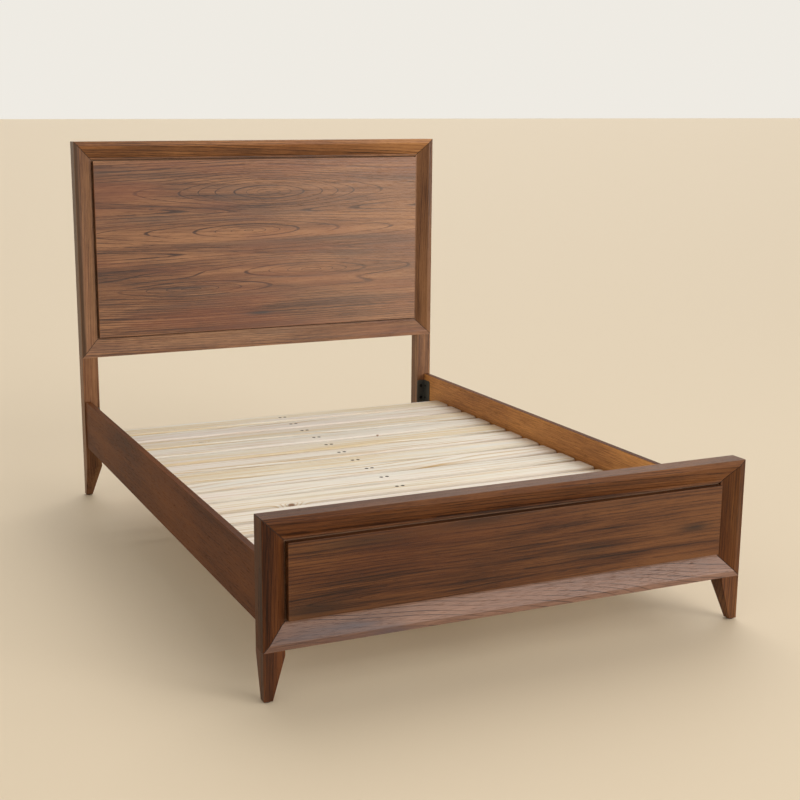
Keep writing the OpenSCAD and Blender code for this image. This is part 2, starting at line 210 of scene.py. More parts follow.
class Value:
    # a socket, which adds Math nodes where it is used in a sum
    def __init__(self, shader, socket):
        self.shader = shader
        self.socket = socket

    def math(self, operation, *others):
        return self.shader.node("ShaderNodeMath", {"operation": operation}, (self, *others))

    def __add__(self, other):
        return self.math("ADD", other)

    def __mul__(self, other):
        return self.math("MULTIPLY", other)

    def __sub__(self, other):
        return self.math("SUBTRACT", other)

    def __truediv__(self, other):
        return self.math("DIVIDE", other)

    def __radd__(self, other):
        return self.math("ADD", other)

    def __rmul__(self, other):
        return self.math("MULTIPLY", other)

    def __rsub__(self, other):
        return self.shader.node("ShaderNodeMath", {"operation": "SUBTRACT"}, (other, self))

    def root(self):
        return self.math("SQRT")

    def absolute(self):
        return self.math("ABSOLUTE")

    def fraction(self):
        return self.math("FRACT")

    def bell(self):
        # 1 at nought, and falling as a bell curve does when the value is a square
        return (0 - self).math("EXPONENT")

    def centred(self):
        # a noise that swings around 0, where it swung around a half
        return self - 0.5

    def clamp(self):
        return self.shader.node("ShaderNodeClamp", {}, (self, 0.0, 1.0))


class Shader:
    # makes the nodes of one node tree
    def __init__(self, tree):
        self.tree = tree

    def node(self, kind, settings, inputs, out=0):
        made = self.tree.nodes.new(kind)
        for key, value in settings.items():
            if key == "stops":
                self.setStops(made, value)
            else:
                setattr(made, key, value)
        pairs = inputs.items() if isinstance(inputs, dict) else enumerate(inputs)
        for key, value in pairs:
            self.feed(made.inputs[key], value)
        return Value(self, made.outputs[out])

    def setStops(self, ramp, stops):
        # a new ramp has two stops, and any further ones are added
        elements = ramp.color_ramp.elements
        for index, (position, colour) in enumerate(stops):
            stop = elements[index] if index < 2 else elements.new(position)
            stop.position = position
            stop.color = (*colour, 1)

    def feed(self, socket, value):
        if isinstance(value, Value):
            self.tree.links.new(value.socket, socket)
        elif isinstance(value, tuple) and len(value) == 3 and socket.type == "RGBA":
            socket.default_value = (*value, 1)
        else:
            socket.default_value = value

    def objectPlace(self, turn=(0, 0, 0)):
        seen = self.node("ShaderNodeTexCoord", {}, {}, "Object")
        return self.node("ShaderNodeMapping", {"vector_type": "POINT"}, {"Vector": seen, "Rotation": turn})

    def split(self, vector):
        parted = self.node("ShaderNodeSeparateXYZ", {}, (vector,))
        outs = parted.socket.node.outputs
        return [Value(self, outs[axis]) for axis in "XYZ"]

    def merge(self, x, y, z):
        return self.node("ShaderNodeCombineXYZ", {}, (x, y, z))

    def noise(self, vector, scale, detail, rough):
        return self.node("ShaderNodeTexNoise", {"noise_dimensions": "3D"},
                         {"Vector": vector, "Scale": scale, "Detail": detail, "Roughness": rough}, "Fac")

    def grain(self, spot, pattern, shifts):
        # a noise drawn out along the wood; pattern is (along, across, depth, detail, roughness)
        *scales, detail, rough = pattern
        axes = []
        for value, scale, shift in zip(spot, scales, shifts):
            drawn = value * scale
            axes.append(drawn if shift == 0 else drawn + shift)
        return self.noise(self.merge(*axes), 1.0, detail, rough)

    def ramp(self, value, stops):
        return self.node("ShaderNodeValToRGB", {"stops": stops}, {"Fac": value}, "Color")

    def rise(self, value, low, high):
        # 0 below low, 1 above high, smooth between
        return self.node("ShaderNodeMapRange", {"interpolation_type": "SMOOTHSTEP"},
                         {"Value": value, "From Min": low, "From Max": high})

    def blend(self, share, first, second, mode="MIX"):
        # sockets 0, 6 and 7 are the factor and the two colours, and output 2 is the colour
        return self.node("ShaderNodeMix", {"data_type": "RGBA", "blend_type": mode},
                         {0: share, 6: first, 7: second}, 2)

    def edges(self, low, high, width):
        # 1 along the edges of the box from low to high, 0 away from them
        near = []
        for axis, value in enumerate(self.split(self.objectPlace())):
            middle = (low[axis] + high[axis]) / 2
            half = (high[axis] - low[axis]) / 2
            near.append(self.rise((value - middle).absolute(), half - width, half - width * 0.2))
        x, y, z = near
        return (x * y).math("MAXIMUM", y * z).math("MAXIMUM", x * z)

    def bump(self, height, distance, strength):
        return self.node("ShaderNodeBump", {},
                         {"Height": height, "Distance": distance, "Strength": strength}, "Normal")


class Surface(Shader):
    # a new material with one Principled shader
    def __init__(self, name):
        self.material = bpy.data.materials.new(name)
        self.material.use_nodes = True
        super().__init__(self.material.node_tree)
        self.tree.nodes.clear()
        self.principled = self.tree.nodes.new("ShaderNodeBsdfPrincipled")
        output = self.tree.nodes.new("ShaderNodeOutputMaterial")
        self.tree.links.new(self.principled.outputs["BSDF"], output.inputs["Surface"])

    def finish(self, **values):
        # Base_Color=..., Roughness=... and so on
        for key, value in values.items():
            self.feed(self.principled.inputs[key.replace("_", " ")], value)
        return self.material


# lays the grain along x
grainTurns = {"x": (0, 0, 0), "y": (0, 0, -pi / 2), "z": (0, pi / 2, 0)}


# stained walnut

walnut = {
    "dark": (0.052, 0.024, 0.0165),
    "middle": (0.178, 0.0805, 0.0390),
    "light": (0.352, 0.186, 0.0980),
    "middleStop": 0.46,  # the tone that gets the middle colour
    "grey": (0.118, 0.079, 0.067),
    "red": (0.230, 0.082, 0.042),
    "stain": (0.050, 0.036, 0.040),
    "paler": (0.330, 0.190, 0.115),
    "paintedReflection": (0.740, 0.520, 0.410),
    "ringWidth": 0.0088,
    "lineWidth": 0.0034,
    "lineEnd": 0.94,  # where in a ring its dark line is darkest, before it stops
    "unevenYears": 0.020,
    "ripple": 0.0016,
    "lean": 0.55,  # how far the rings lean as they go into the wood
    "heartReach": 0.42,
    "heartBlend": 0.03,
    "heartSize": 0.002,
    "thinnest": 0.25,  # a line at a heart's end, against one beside it
    "roughness": 0.43,
    "wearAndHighlightWidth": 0.0022,
    "wearAndHighlight": 0.7,
    "relief": 0.0002,
}

# how closely each pattern repeats along, across and into the wood, then its detail and roughness
walnutGrain = {
    "waver": (1.2, 4, 4, 2, 0.5),
    "ripple": (5, 22, 22, 2, 0.5),
    "ringPatch": (2.2, 11, 11, 2, 0.5),
    "ringBreak": (16, 120, 120, 2, 0.6),
    "bands": (0.9, 30, 30, 4, 0.6),
    "hairs": (2.6, 170, 170, 3, 0.6),
    "fibres": (13, 520, 520, 3, 0.65),
    "clouds": (1.3, 4.5, 4.5, 3, 0.55),
    "pores": (34, 900, 900, 1, 0.5),
    "grey": (1.5, 12, 9, 3, 0.6),
    "red": (1.2, 7, 9, 3, 0.6),
}

# between which values of its noise each pattern comes up
walnutLimits = {
    "ringPatch": (0.30, 0.56),
    "ringBreak": (0.24, 0.52),
    "hairs": (0.50, 0.74),
    "pores": (0.60, 0.70),
    "grey": (0.50, 0.72),
    "red": (0.48, 0.70),
    "bandSmudge": (0.25, 0.60),
    "fibreSmudge": (0.30, 0.62),
}

# how much each pattern counts in the tone, where 0 is dark and 1 is light
walnutTone = {
    "plain": 0.66,
    "bands": 1.9,
    "fibres": 1.2,
    "clouds": 1.5,
    "lines": 0.50,
    "hairs": 0.42,
    "pores": 0.30,
}


def ringSpread(x, across, slope, hearts):
    # how far across the growth rings a place lies, and how straight across them the grain runs there
    spread = across + x * slope
    steep = None
    for heartX, heartAcross, slant in hearts:
        du = x - heartX
        dv = across - heartAcross
        flat = du * du * slant ** 2 / (du * du / walnut["heartReach"] ** 2 + 1)
        far = (dv * dv + flat + walnut["heartSize"] ** 2).root()
        sharp = dv.absolute() / far
        if steep:
            steep = steep + (sharp - steep) * far.math("LESS_THAN", spread)
            spread = spread.math("SMOOTH_MIN", far, walnut["heartBlend"])
        else:
            steep = sharp
            spread = far
    return spread, steep


def makeWalnut(node, along, seed, tint=(1, 1, 1), hearts=(), stainsAndShade=(), slope=0.03, wander=0.016,
               grey=0.30, red=0.30, rings=1.0, streaky=1.0, sheen=0.30, patchy=0.0,
               rough=0.0, fine=1.0, wide=1.0, paintedReflection=(), stainAndShadeColour=walnut["stain"]):
    # hearts are (along, across, slant), the places that the growth rings close around
    # the smudge list is (along, across, length, height, strength): dark smudges that follow the grain, real
    # stains on the panels and painted shade on the headboard's left stile
    # the paler span is (from, to, strength), along the grain, where the wood is painted paler as a painted
    # reflection
    wood = Surface(node.replace("_", " ") + " walnut")
    x, depth, across = wood.split(wood.objectPlace(grainTurns[along]))

    def pattern(name, *shifts):
        return wood.grain((x, across, depth), walnutGrain[name], shifts)

    def showing(name, value):
        return wood.rise(value, *walnutLimits[name])

    # growth rings
    waver = pattern("waver", seed, 0, seed).centred()
    ripple = pattern("ripple", seed, 0, 0).centred()
    spread, steep = ringSpread(x, across, slope, hearts)
    field = spread + waver * (wander * 2) + ripple * walnut["ripple"] + depth * walnut["lean"]
    uneven = wood.noise(wood.merge(field * 42 + seed, seed, 0.0), 1.0, 2.0, 0.6).centred()
    field = field + uneven * walnut["unevenYears"]
    phase = (field / (walnut["ringWidth"] * wide) + seed).fraction()
    lineShare = walnut["lineWidth"] / walnut["ringWidth"] * fine
    if hearts:  # keeps the lines equally thin where the rings spread
        lineShare = steep.math("MAXIMUM", walnut["thinnest"]) * lineShare
    end = walnut["lineEnd"]
    lines = wood.rise(phase, end - lineShare, end - lineShare * 0.25) * (1 - wood.rise(phase, end, 1.0))
    low, high = walnutLimits["ringPatch"]
    lines = lines * wood.rise(pattern("ringPatch", seed, 0, 0), low + patchy, high + patchy)
    lines = lines * showing("ringBreak", pattern("ringBreak", 0, seed, 0)) * rings

    # the fibres between them, and the tone of it all
    bands = pattern("bands", seed, waver * 2, 0)
    hairs = showing("hairs", pattern("hairs", seed, ripple * 0.8, 0))
    fibres = pattern("fibres", 0, 0, seed)
    clouds = pattern("clouds", 0, seed, 0)
    pores = showing("pores", pattern("pores", seed, 0, 0))
    share = walnutTone
    tone = share["plain"] + bands.centred() * (share["bands"] * streaky)
    tone = tone + fibres.centred() * share["fibres"] + clouds.centred() * share["clouds"]
    tone = tone - lines * share["lines"]
    tone = tone - hairs * (share["hairs"] * streaky) - pores * share["pores"]
    stops = [(0.0, walnut["dark"]), (1.0, walnut["light"]), (walnut["middleStop"], walnut["middle"])]
    colour = wood.ramp(tone.clamp(), stops)
    greyShare = showing("grey", pattern("grey", 0, seed * 2, 0)) * grey
    redShare = showing("red", pattern("red", seed, 0, 5)) * red
    colour = wood.blend(greyShare, colour, walnut["grey"])
    colour = wood.blend(redShare, colour, walnut["red"])

    # stains and painted shade, painted reflection, and wear with a painted edge highlight
    if stainsAndShade:
        smudge = 0.0
        for stainX, stainAcross, length, height, strength in stainsAndShade:
            du = (x - stainX) / length
            dv = (across - stainAcross + waver * 0.02) / height
            smudge = (du * du + dv * dv).bell() * strength + smudge
        # the smudges are stains, and on the headboard's left stile painted shade
        streaks = showing("bandSmudge", bands) * 0.5 + showing("fibreSmudge", fibres) * 0.5
        colour = wood.blend((smudge * (streaks + 0.4)).clamp(), colour, stainAndShadeColour)
    # painted reflection: the wood is painted paler towards one end of the grain
    if paintedReflection:
        start, end, strength = paintedReflection
        colour = wood.blend(wood.rise(x, start, end) * strength, colour, walnut["paintedReflection"])
    # paler along the box edges: partly wear and partly a painted edge highlight
    paler = wood.edges(*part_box(node), walnut["wearAndHighlightWidth"]) * fibres * walnut["wearAndHighlight"]
    colour = wood.blend(paler, colour, walnut["paler"])
    colour = wood.blend(1.0, colour, tint, "MULTIPLY")

    roughness = walnut["roughness"] + rough + fibres.centred() * 0.25 + pores * 0.2
    roughness = roughness + clouds.centred() * 0.15
    relief = fibres * 0.5 + hairs * -0.4 - lines * 0.5 - pores * 0.9
    return wood.finish(Base_Color=colour, Roughness=roughness, Specular_IOR_Level=sheen,
                       Normal=wood.bump(relief, walnut["relief"], 0.8))


# pale slats

pine = {
    "early": (0.835, 0.795, 0.715),
    "late": (0.560, 0.385, 0.190),
    "pinkish": (0.800, 0.720, 0.670),
    "greyish": (0.710, 0.700, 0.660),
    "yellow": (0.720, 0.560, 0.290),
    "knot": (0.230, 0.105, 0.040),
    "holeShade": (0.045, 0.030, 0.018),
    "nearRailShade": (0.400, 0.250, 0.120),
    "ringWidth": 0.012,
    "lean": 0.8,
    "waver": 0.045,
    "knotLift": 0.035,
    "knotLength": 3.5,
    "roughness": 0.62,
    "relief": 0.0002,
}

pineGrain = {
    "waver": (1.3, 7, 7, 2, 0.5),
    "patch": (1.6, 20, 20, 3, 0.6),
    "fibres": (9, 360, 360, 3, 0.65),
    "streaks": (1.4, 70, 40, 3, 0.6),
    "tint": (0.8, 14, 5, 2, 0.5),
}

# between which values each pattern comes up, and how strongly it then shows
pineShows = {
    "streaks": (0.50, 0.76, 0.65),
    "pinkish": (0.50, 0.66, 0.60),
    "greyish": (0.49, 0.34, 0.45),
    "knot": (0.30, 0.80, 0.85),
}


def makePine(name, along, seed, knots=(), pitch=0.0, start=0.0, holes=(), shadedEnds=(), shade=()):
    # with a pitch, every board that stands a pitch further along gets its own growth and tint
    # knots are (along, across, size), and holes is (along, radius, fade), the painted shade in and around a
    # pair of screw holes in each board; the end list is (from, to, strength), where both ends are painted
    # darker and browner as painted shade near the rails
    wood = Surface(name)
    x, y, z = wood.split(wood.objectPlace(grainTurns[along]))
    across, depth = (y, z) if along == "x" else (z, y)
    number = ((across - start) / pitch + 0.5).math("FLOOR") if pitch else 0.0
    board = wood.node("ShaderNodeTexWhiteNoise", {"noise_dimensions": "1D"}, {"W": number + seed}, "Value")
    jump = board * 37  # takes each board to a far place in every noise

    def pattern(name, *shifts):
        return wood.grain((x, across, depth), pineGrain[name], shifts)

    def showing(name, value):
        low, high, strength = pineShows[name]
        return wood.rise(value, low, high) * strength

    # growth rings, which bend around the knots
    waver = pattern("waver", jump, 0, jump).centred()
    field = across * (0.35 + board * 0.5) + waver * pine["waver"] + x * (board.centred() * 0.06)
    field = field + depth * pine["lean"] + jump
    core = 0.0
    for knotX, knotAcross, size in knots:
        du = (x - knotX) / (size * pine["knotLength"])
        dv = (across - knotAcross) / size
        near = du * du + dv * dv
        field = field + near.bell() * pine["knotLift"]
        core = (near * 5).bell() + core
    phase = (field / pine["ringWidth"]).fraction()
    late = wood.rise(phase, 0.40, 0.93) * (1 - wood.rise(phase, 0.95, 1.0))
    late = late * wood.rise(pattern("patch", jump, 0, 0), 0.36, 0.62)

    fibres = pattern("fibres", 0, jump, 0)
    streaks = pattern("streaks", jump, 0, 0)
    tint = pattern("tint", jump, 0, 0)
    share = late * 0.85 + fibres.centred() * 0.55 + showing("streaks", streaks)
    yellow = wood.rise(board, 0.55, 0.90) * wood.rise(streaks, 0.40, 0.60) * 0.55
    colour = wood.blend(share.clamp(), pine["early"], pine["late"])
    colour = wood.blend(showing("pinkish", tint), colour, pine["pinkish"])
    colour = wood.blend(showing("greyish", tint), colour, pine["greyish"])
    colour = wood.blend(yellow, colour, pine["yellow"])
    if knots:
        colour = wood.blend(showing("knot", core), colour, pine["knot"])
    # painted shade: both ends of each board are painted darker and browner, where they meet the rails
    if shadedEnds:
        fromMiddle, toMiddle, strength = shadedEnds
        nearRailShade = wood.rise(x.absolute(), fromMiddle, toMiddle) * (0.6 + fibres * 0.8) * strength
        colour = wood.blend(nearRailShade.clamp(), colour, pine["nearRailShade"])
    # painted shade: near black inside each screw hole and in a thin rim around it
    if holes:
        holeX, radius, fade = holes
        du = x.absolute() - holeX
        dv = across - start - number * pitch
        holeShade = 1 - wood.rise((du * du + dv * dv).root(), radius, fade)
        colour = wood.blend(holeShade * 0.9, colour, pine["holeShade"])
    # multiplies the whole board by shade: for the ledgers, their stain together with painted shade
    if shade:
        colour = wood.blend(1.0, colour, shade, "MULTIPLY")
    relief = fibres * 0.6 - late * 0.5
    return wood.finish(Base_Color=colour, Roughness=pine["roughness"] + fibres.centred() * 0.2,
                       Normal=wood.bump(relief, pine["relief"], 0.8), Specular_IOR_Level=0.35)


# metals, plastic and ply

def makeSteel(name, colour, metallic, roughness):
    steel = Surface(name)
    spot = steel.objectPlace()
    speckle = steel.noise(spot, 900, 3, 0.6)
    smear = steel.noise(spot, 60, 4, 0.6)
    paler = steel.rise(smear, 0.55, 0.75) * 0.3
    lighter = tuple(min(1.0, channel * 1.9 + 0.02) for channel in colour)
    return steel.finish(Base_Color=steel.blend(paler, colour, lighter), Metallic=metallic,
                        Roughness=roughness + speckle.centred() * 0.25 + smear.centred() * 0.2,
                        Normal=steel.bump(speckle, 0.0001, 0.5))


def makeNylon(name, colour, dusty):
    plastic = Surface(name)
    spot = plastic.objectPlace()
    texture = plastic.noise(spot, 1400, 2, 0.5)
    dust = plastic.rise(plastic.noise(spot, 90, 4, 0.65), 0.5, 0.8)
    return plastic.finish(Base_Color=plastic.blend(dust * 0.5, colour, dusty), Roughness=0.5 + dust * 0.2,
                          Normal=plastic.bump(texture, 0.00015, 0.6))


ply = {
    "dark": (0.085, 0.043, 0.022),
    "middle": (0.165, 0.085, 0.046),
    "light": (0.265, 0.150, 0.082),
    "roughness": 0.62,
    "relief": 0.0002,
}

plyGrain = {
    "figure": (1.4, 16, 16, 5, 0.6),
    "fibres": (14, 420, 420, 3, 0.6),
    "streaks": (3, 150, 150, 3, 0.6),
}


def makePly(name, seed):
    veneer = Surface(name)
    x, y, z = veneer.split(veneer.objectPlace())
    waver = veneer.noise(veneer.merge(x * 1.2, z * 4, seed), 1.0, 3.0, 0.5).centred()

    def pattern(name, *shifts):
        return veneer.grain((x, z, y), plyGrain[name], shifts)

    figure = pattern("figure", seed, waver * 6, 0)
    fibres = pattern("fibres", 0, 0, 0)
    streaks = pattern("streaks", 0, waver * 3, 0)
    tone = 0.5 + figure.centred() * 1.4 + streaks.centred() * 0.9 + fibres.centred() * 0.9
    colour = veneer.ramp(tone.clamp(), [(0.0, ply["dark"]), (1.0, ply["light"]), (0.5, ply["middle"])])
    return veneer.finish(Base_Color=colour, Roughness=ply["roughness"] + fibres.centred() * 0.2,
                         Normal=veneer.bump(fibres + figure, ply["relief"], 0.6), Specular_IOR_Level=0.3)


blackSteel = makeSteel("dark powder coat", (0.065, 0.066, 0.058), 0.3, 0.42)
boltSteel = makeSteel("black bolt steel", (0.014, 0.013, 0.013), 0.6, 0.36)
zincSteel = makeSteel("zinc plate", (0.42, 0.43, 0.43), 0.9, 0.36)
screwSteel = makeSteel("dark screw plate", (0.016, 0.015, 0.014), 0.3, 0.5)
brass = makeSteel("insert brass", (0.55, 0.38, 0.13), 1.0, 0.34)
nylon = makeNylon("black nylon", (0.018, 0.018, 0.019), (0.06, 0.056, 0.05))
beech = makePine("dowel beech", "z", 3.0)
mitreLine = makeSteel("mitre line", (0.020, 0.010, 0.006), 0.0, 0.8)
backPly = {
    "headboard": makePly("headboard stained ply", 2.0),
    "footboard": makePly("footboard stained ply", 5.0),
}


# the two boards

board = {
    "flat": 0.0165,  # border along the outer edge
    "bevel": 0.042,
    "sink": 0.022,
    "grooveDepth": 0.010,
    "arris": 0.0013,
    "mitreArris": 0.0010,
    "panelRound": 0.0016,
}


def makeMember(name, length, reach, profile):
    # a mitred member along x, reach below the board's middle, front at y = 0
    over = 0.03  # how far it runs past the mitres, which then cut it off
    edge = -reach
    bevelEnd = edge + board["flat"] + board["bevel"]
    inner = edge + profile["width"]
    member = addBlock(name, (-length / 2 - over, 0, edge), (length / 2 + over, profile["depth"], inner))
    cutAcross(member, (0, 0, edge + board["flat"]), (0, 0, 1))
    cutAcross(member, (0, 0, bevelEnd), (0, 0, 1))
    editPoints(member, lambda at: at.y < eps and at.z > bevelEnd - eps)
    bpy.ops.transform.translate(value=(0, board["sink"], 0))
    leaveEdit()
    cutAcross(member, (0, profile["groove"], 0), (0, 1, 0))
    cutAcross(member, (0, profile["groove"] + profile["ply"], 0), (0, 1, 0))
    grooveMiddle = profile["groove"] + profile["ply"] / 2

    def onGroove(at, out):
        return out.z > 0.9 and abs(at.y - grooveMiddle) < eps and at.z > inner - eps

    editFaces(member, onGroove)
    bpy.ops.mesh.extrude_region_move(TRANSFORM_OT_translate={"value": (0, 0, -board["grooveDepth"])})
    leaveEdit()
    tidyMesh(member)
    roundEdges(member, board["arris"])
    member.data.materials.append(profile["wood"])
    member.data.materials.append(mitreLine)
    for side in (-1, 1):
        cutAcross(member, (side * length / 2, 0, edge), (side, 0, 1), cutOff=True)
        editFaces(member, lambda at, out: out.x * side > 0.6)
        bpy.ops.mesh.bevel(offset=board["mitreArris"], segments=1, affect="EDGES", material=1)
        leaveEdit()
    smooth(member)
    return member


def makeBoard(prefix, looks):
    low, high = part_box(prefix + "_bottom_rail")
    topLow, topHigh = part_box(prefix + "_top_rail")
    plyLow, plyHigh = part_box(prefix + "_back_panel")
    width = high.x - low.x
    height = topHigh.z - low.z
    middle = (0, low.y, (low.z + topHigh.z) / 2)
    profile = {"width": high.z - low.z, "depth": high.y - low.y,
               "groove": plyLow.y - low.y, "ply": plyHigh.y - plyLow.y}
    members = (
        ("bottom_rail", "x", width, height / 2, 0),
        ("top_rail", "x", width, height / 2, pi),
        ("left_stile", "z", height, width / 2, pi / 2),
        ("right_stile", "z", height, width / 2, -pi / 2),
    )
    for part, along, length, reach, turn in members:
        node = prefix + "_" + part
        profile["wood"] = makeWalnut(node, along, **looks[part])
        member = makeMember(node + "_wood", length, reach, profile)
        place(member, (0, turn, 0), middle)
        standIn(member, "bed", [node])
    node = prefix + "_face_panel"
    panel = addBlock(node + "_wood", *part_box(node))
    roundEdges(panel, board["panelRound"], 3)
    smooth(panel)
    standIn(panel, "bed", [node], makeWalnut(node, "x", **looks["panel"]))
    print(prefix, "frame and panel made")


# Each part's tint holds the wood's own tone and also painted light and shade: the footboard is painted
# darker than the headboard, each part lighter or darker as light falls on it, and the footboard's bottom
# rail greyer and bluer as a painted sheen.
makeBoard("headboard", {
    "bottom_rail": {"seed": 3.1, "tint": (1.17, 1.16, 1.04), "sheen": 0.4, "streaky": 0.9},
    "top_rail": {"seed": 7.7, "tint": (1.22, 1.08, 0.73), "red": 0.15, "grey": 0.1, "streaky": 0.55},
    # painted shade: the left stile's smudge is a dark band along its whole length, not a stain
    "left_stile": {"seed": 11.3, "tint": (0.99, 1.02, 1.00), "rings": 0.5, "streaky": 0.8,
                   "stainsAndShade": ((0.93, 0.7135, 3.0, 0.009, 0.95),), "stainAndShadeColour": (0.060, 0.026, 0.009)},
    "right_stile": {"seed": 16.9, "tint": (0.64, 0.55, 0.41), "rings": 0.5, "streaky": 0.8},
    "panel": {
        "seed": 21.4, "tint": (0.90, 0.80, 0.65), "sheen": 0.45, "slope": 0.02, "wander": 0.010,
        "grey": 0.45, "red": 0.50, "streaky": 1.1, "rings": 1.7, "fine": 0.8, "patchy": -0.06,
        # painted reflection: the panel is painted paler towards its right end
        "paintedReflection": (-0.25, 0.62, 0.13),
        "hearts": ((0.02, 1.130, 0.20), (-0.06, 0.985, 0.14),
                   (0.20, 0.826, 0.13), (-0.30, 0.772, 0.11)),
        "stainsAndShade": ((0.27, 0.945, 0.34, 0.010, 0.60), (0.56, 0.925, 0.16, 0.018, 0.50),
                   (-0.12, 1.030, 0.16, 0.006, 0.45), (-0.015, 0.664, 0.055, 0.007, 0.9),
                   (0.36, 0.700, 0.20, 0.020, 0.45), (-0.32, 0.776, 0.12, 0.006, 0.5),
                   (0.08, 0.800, 0.22, 0.005, 0.35), (-0.22, 0.935, 0.22, 0.007, 0.30)),
    },
})
makeBoard("footboard", {
    "bottom_rail": {"seed": 31.2, "tint": (0.75, 0.76, 0.94), "slope": 0.17, "grey": 1.0, "red": 0.0,
                    "wander": 0.05, "patchy": 0.08, "streaky": 0.5, "sheen": 0.45, "rings": 2.6,
                    "fine": 0.30, "wide": 1.6},
    "top_rail": {"seed": 37.5, "tint": (0.56, 0.41, 0.25), "grey": 0.15, "streaky": 0.6, "sheen": 0.24},
    "left_stile": {"seed": 41.9, "tint": (0.34, 0.22, 0.12), "rings": 0.5, "streaky": 1.1,
                   "sheen": 0.12},
    "right_stile": {"seed": 46.2, "tint": (0.54, 0.40, 0.20), "rings": 0.5, "streaky": 0.6,
                    "sheen": 0.2},
    "panel": {
        "seed": 52.8, "tint": (0.42, 0.295, 0.155), "streaky": 1.3, "sheen": 0.24, "slope": 0.01,
        "rings": 0.8, "grey": 0.15, "red": 0.3,
        "hearts": ((-0.35, 0.235, 0.07),),
        "stainsAndShade": ((-0.58, 0.225, 0.10, 0.020, 0.7), (-0.12, 0.400, 0.12, 0.018, 0.5),
                   (0.10, 0.415, 0.14, 0.014, 0.5), (0.56, 0.290, 0.05, 0.012, 0.7),
                   (0.20, 0.270, 0.10, 0.016, 0.35), (-0.45, 0.385, 0.14, 0.016, 0.5)),
    },
})

# legs

leg = {
    "foot": 0.0245,  # width of the square at the floor
    "taperTop": 0.118,
    "arris": 0.0011,
}


def makeLeg(node, straightFace, look):
    # straightFace is -1 where the leg's front stays upright and 1 where its back does
    low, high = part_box(node)
    side = -1 if low.x < 0 else 1
    piece = addBlock(node + "_wood", low, high)
    outer = low.x if side < 0 else high.x
    inner = high.x if side < 0 else low.x
    straight = low.y if straightFace < 0 else high.y
    sloped = high.y if straightFace < 0 else low.y
    drop = leg["taperTop"] - low.z
    tapers = (
        (inner, outer - side * leg["foot"], 0),
        (sloped, straight - straightFace * leg["foot"], 1),
    )
    for start, end, axis in tapers:
        run = start - end
        normal = [0, 0, -abs(run)]
        normal[axis] = drop if run > 0 else -drop
        spot = [0, 0, leg["taperTop"]]
        spot[axis] = start
        cutAcross(piece, spot, normal, cutOff=True)
    tidyMesh(piece)
    roundEdges(piece, leg["arris"])
    smooth(piece)
    standIn(piece, "bed", [node], makeWalnut(node, "z", **look))


# The legs' tints hold the wood's tone and also painted shade: the footboard legs and the headboard's left
# leg are painted darker.
makeLeg("headboard_left_leg", 1, {"seed": 61.5, "tint": (0.74, 0.66, 0.52)})
makeLeg("headboard_right_leg", 1, {"seed": 64.1, "tint": (1.10, 1.06, 0.92)})
makeLeg("footboard_left_leg", -1,
        {"seed": 68.8, "tint": (0.56, 0.38, 0.22), "streaky": 0.7, "sheen": 0.2})
makeLeg("footboard_right_leg", -1,
        {"seed": 71.2, "tint": (0.58, 0.45, 0.25), "streaky": 0.7, "sheen": 0.2})
print("legs made")

# side rails, ledgers, beam and centre legs

# The ledgers' stain, darkened further as painted shade where they show in the gaps between the slats.
ledgerStainAndShade = (0.20, 0.11, 0.06)
railArris = 0.0016
# The rails' dark tint is partly the wood's tone and partly painted shade on their outer faces.
railLook = {"tint": (0.48, 0.31, 0.17), "rings": 0.25, "streaky": 0.45, "grey": 0.05,
            "red": 0.15, "sheen": 0.12, "rough": 0.12}
# Painted bounce light: the rails' inner faces are painted lighter and more orange as light from the slats
# falls on them, the right rail's most.
railInside = {"rings": 0.12, "streaky": 0.2, "grey": 0.0, "red": 0.1, "rough": 0.1}
insideBounceLightTints = {-1: (1.45, 1.15, 0.66), 1: (2.15, 1.90, 1.02)}  # left rail, right rail
for side, node, seed in ((-1, "left_side_rail", 81.3), (1, "right_side_rail", 86.7)):
    piece = addBlock(node + "_wood", *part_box(node))
    roundEdges(piece, railArris)
    smooth(piece)
    inside = makeWalnut(node, "y", seed + 1, insideBounceLightTints[side], **railInside)
    inside.name = node.replace("_", " ") + " inside walnut"
    for material in (makeWalnut(node, "y", seed, **railLook), inside):
        piece.data.materials.append(material)
    editFaces(piece, lambda at, out: out.x * side < -0.9)
    piece.active_material_index = 1
    bpy.ops.object.material_slot_assign()
    leaveEdit()
    standIn(piece, "bed", [node])

# the rounding of each board's edges, and its wood
boards = {
    "left_slat_ledger": (0.0015, makePine("left ledger stained pine", "y", 91.0, shade=ledgerStainAndShade)),
    "right_slat_ledger": (0.0015, makePine("right ledger stained pine", "y", 92.0, shade=ledgerStainAndShade)),
    "centre_beam": (0.0020, makePine("centre beam pine", "y", 93.0)),
    "centre_leg_head": (0.0020, makePine("centre leg pine a", "z", 94.0)),
    "centre_leg_middle": (0.0020, makePine("centre leg pine b", "z", 95.0)),
    "centre_leg_foot": (0.0020, makePine("centre leg pine c", "z", 96.0)),
}
for node, (arris, material) in boards.items():
    piece = addBlock(node + "_wood", *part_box(node))
    roundEdges(piece, arris)
    smooth(piece)
    standIn(piece, "bed", [node], material)
print("rails, ledgers and beam made")

# slats

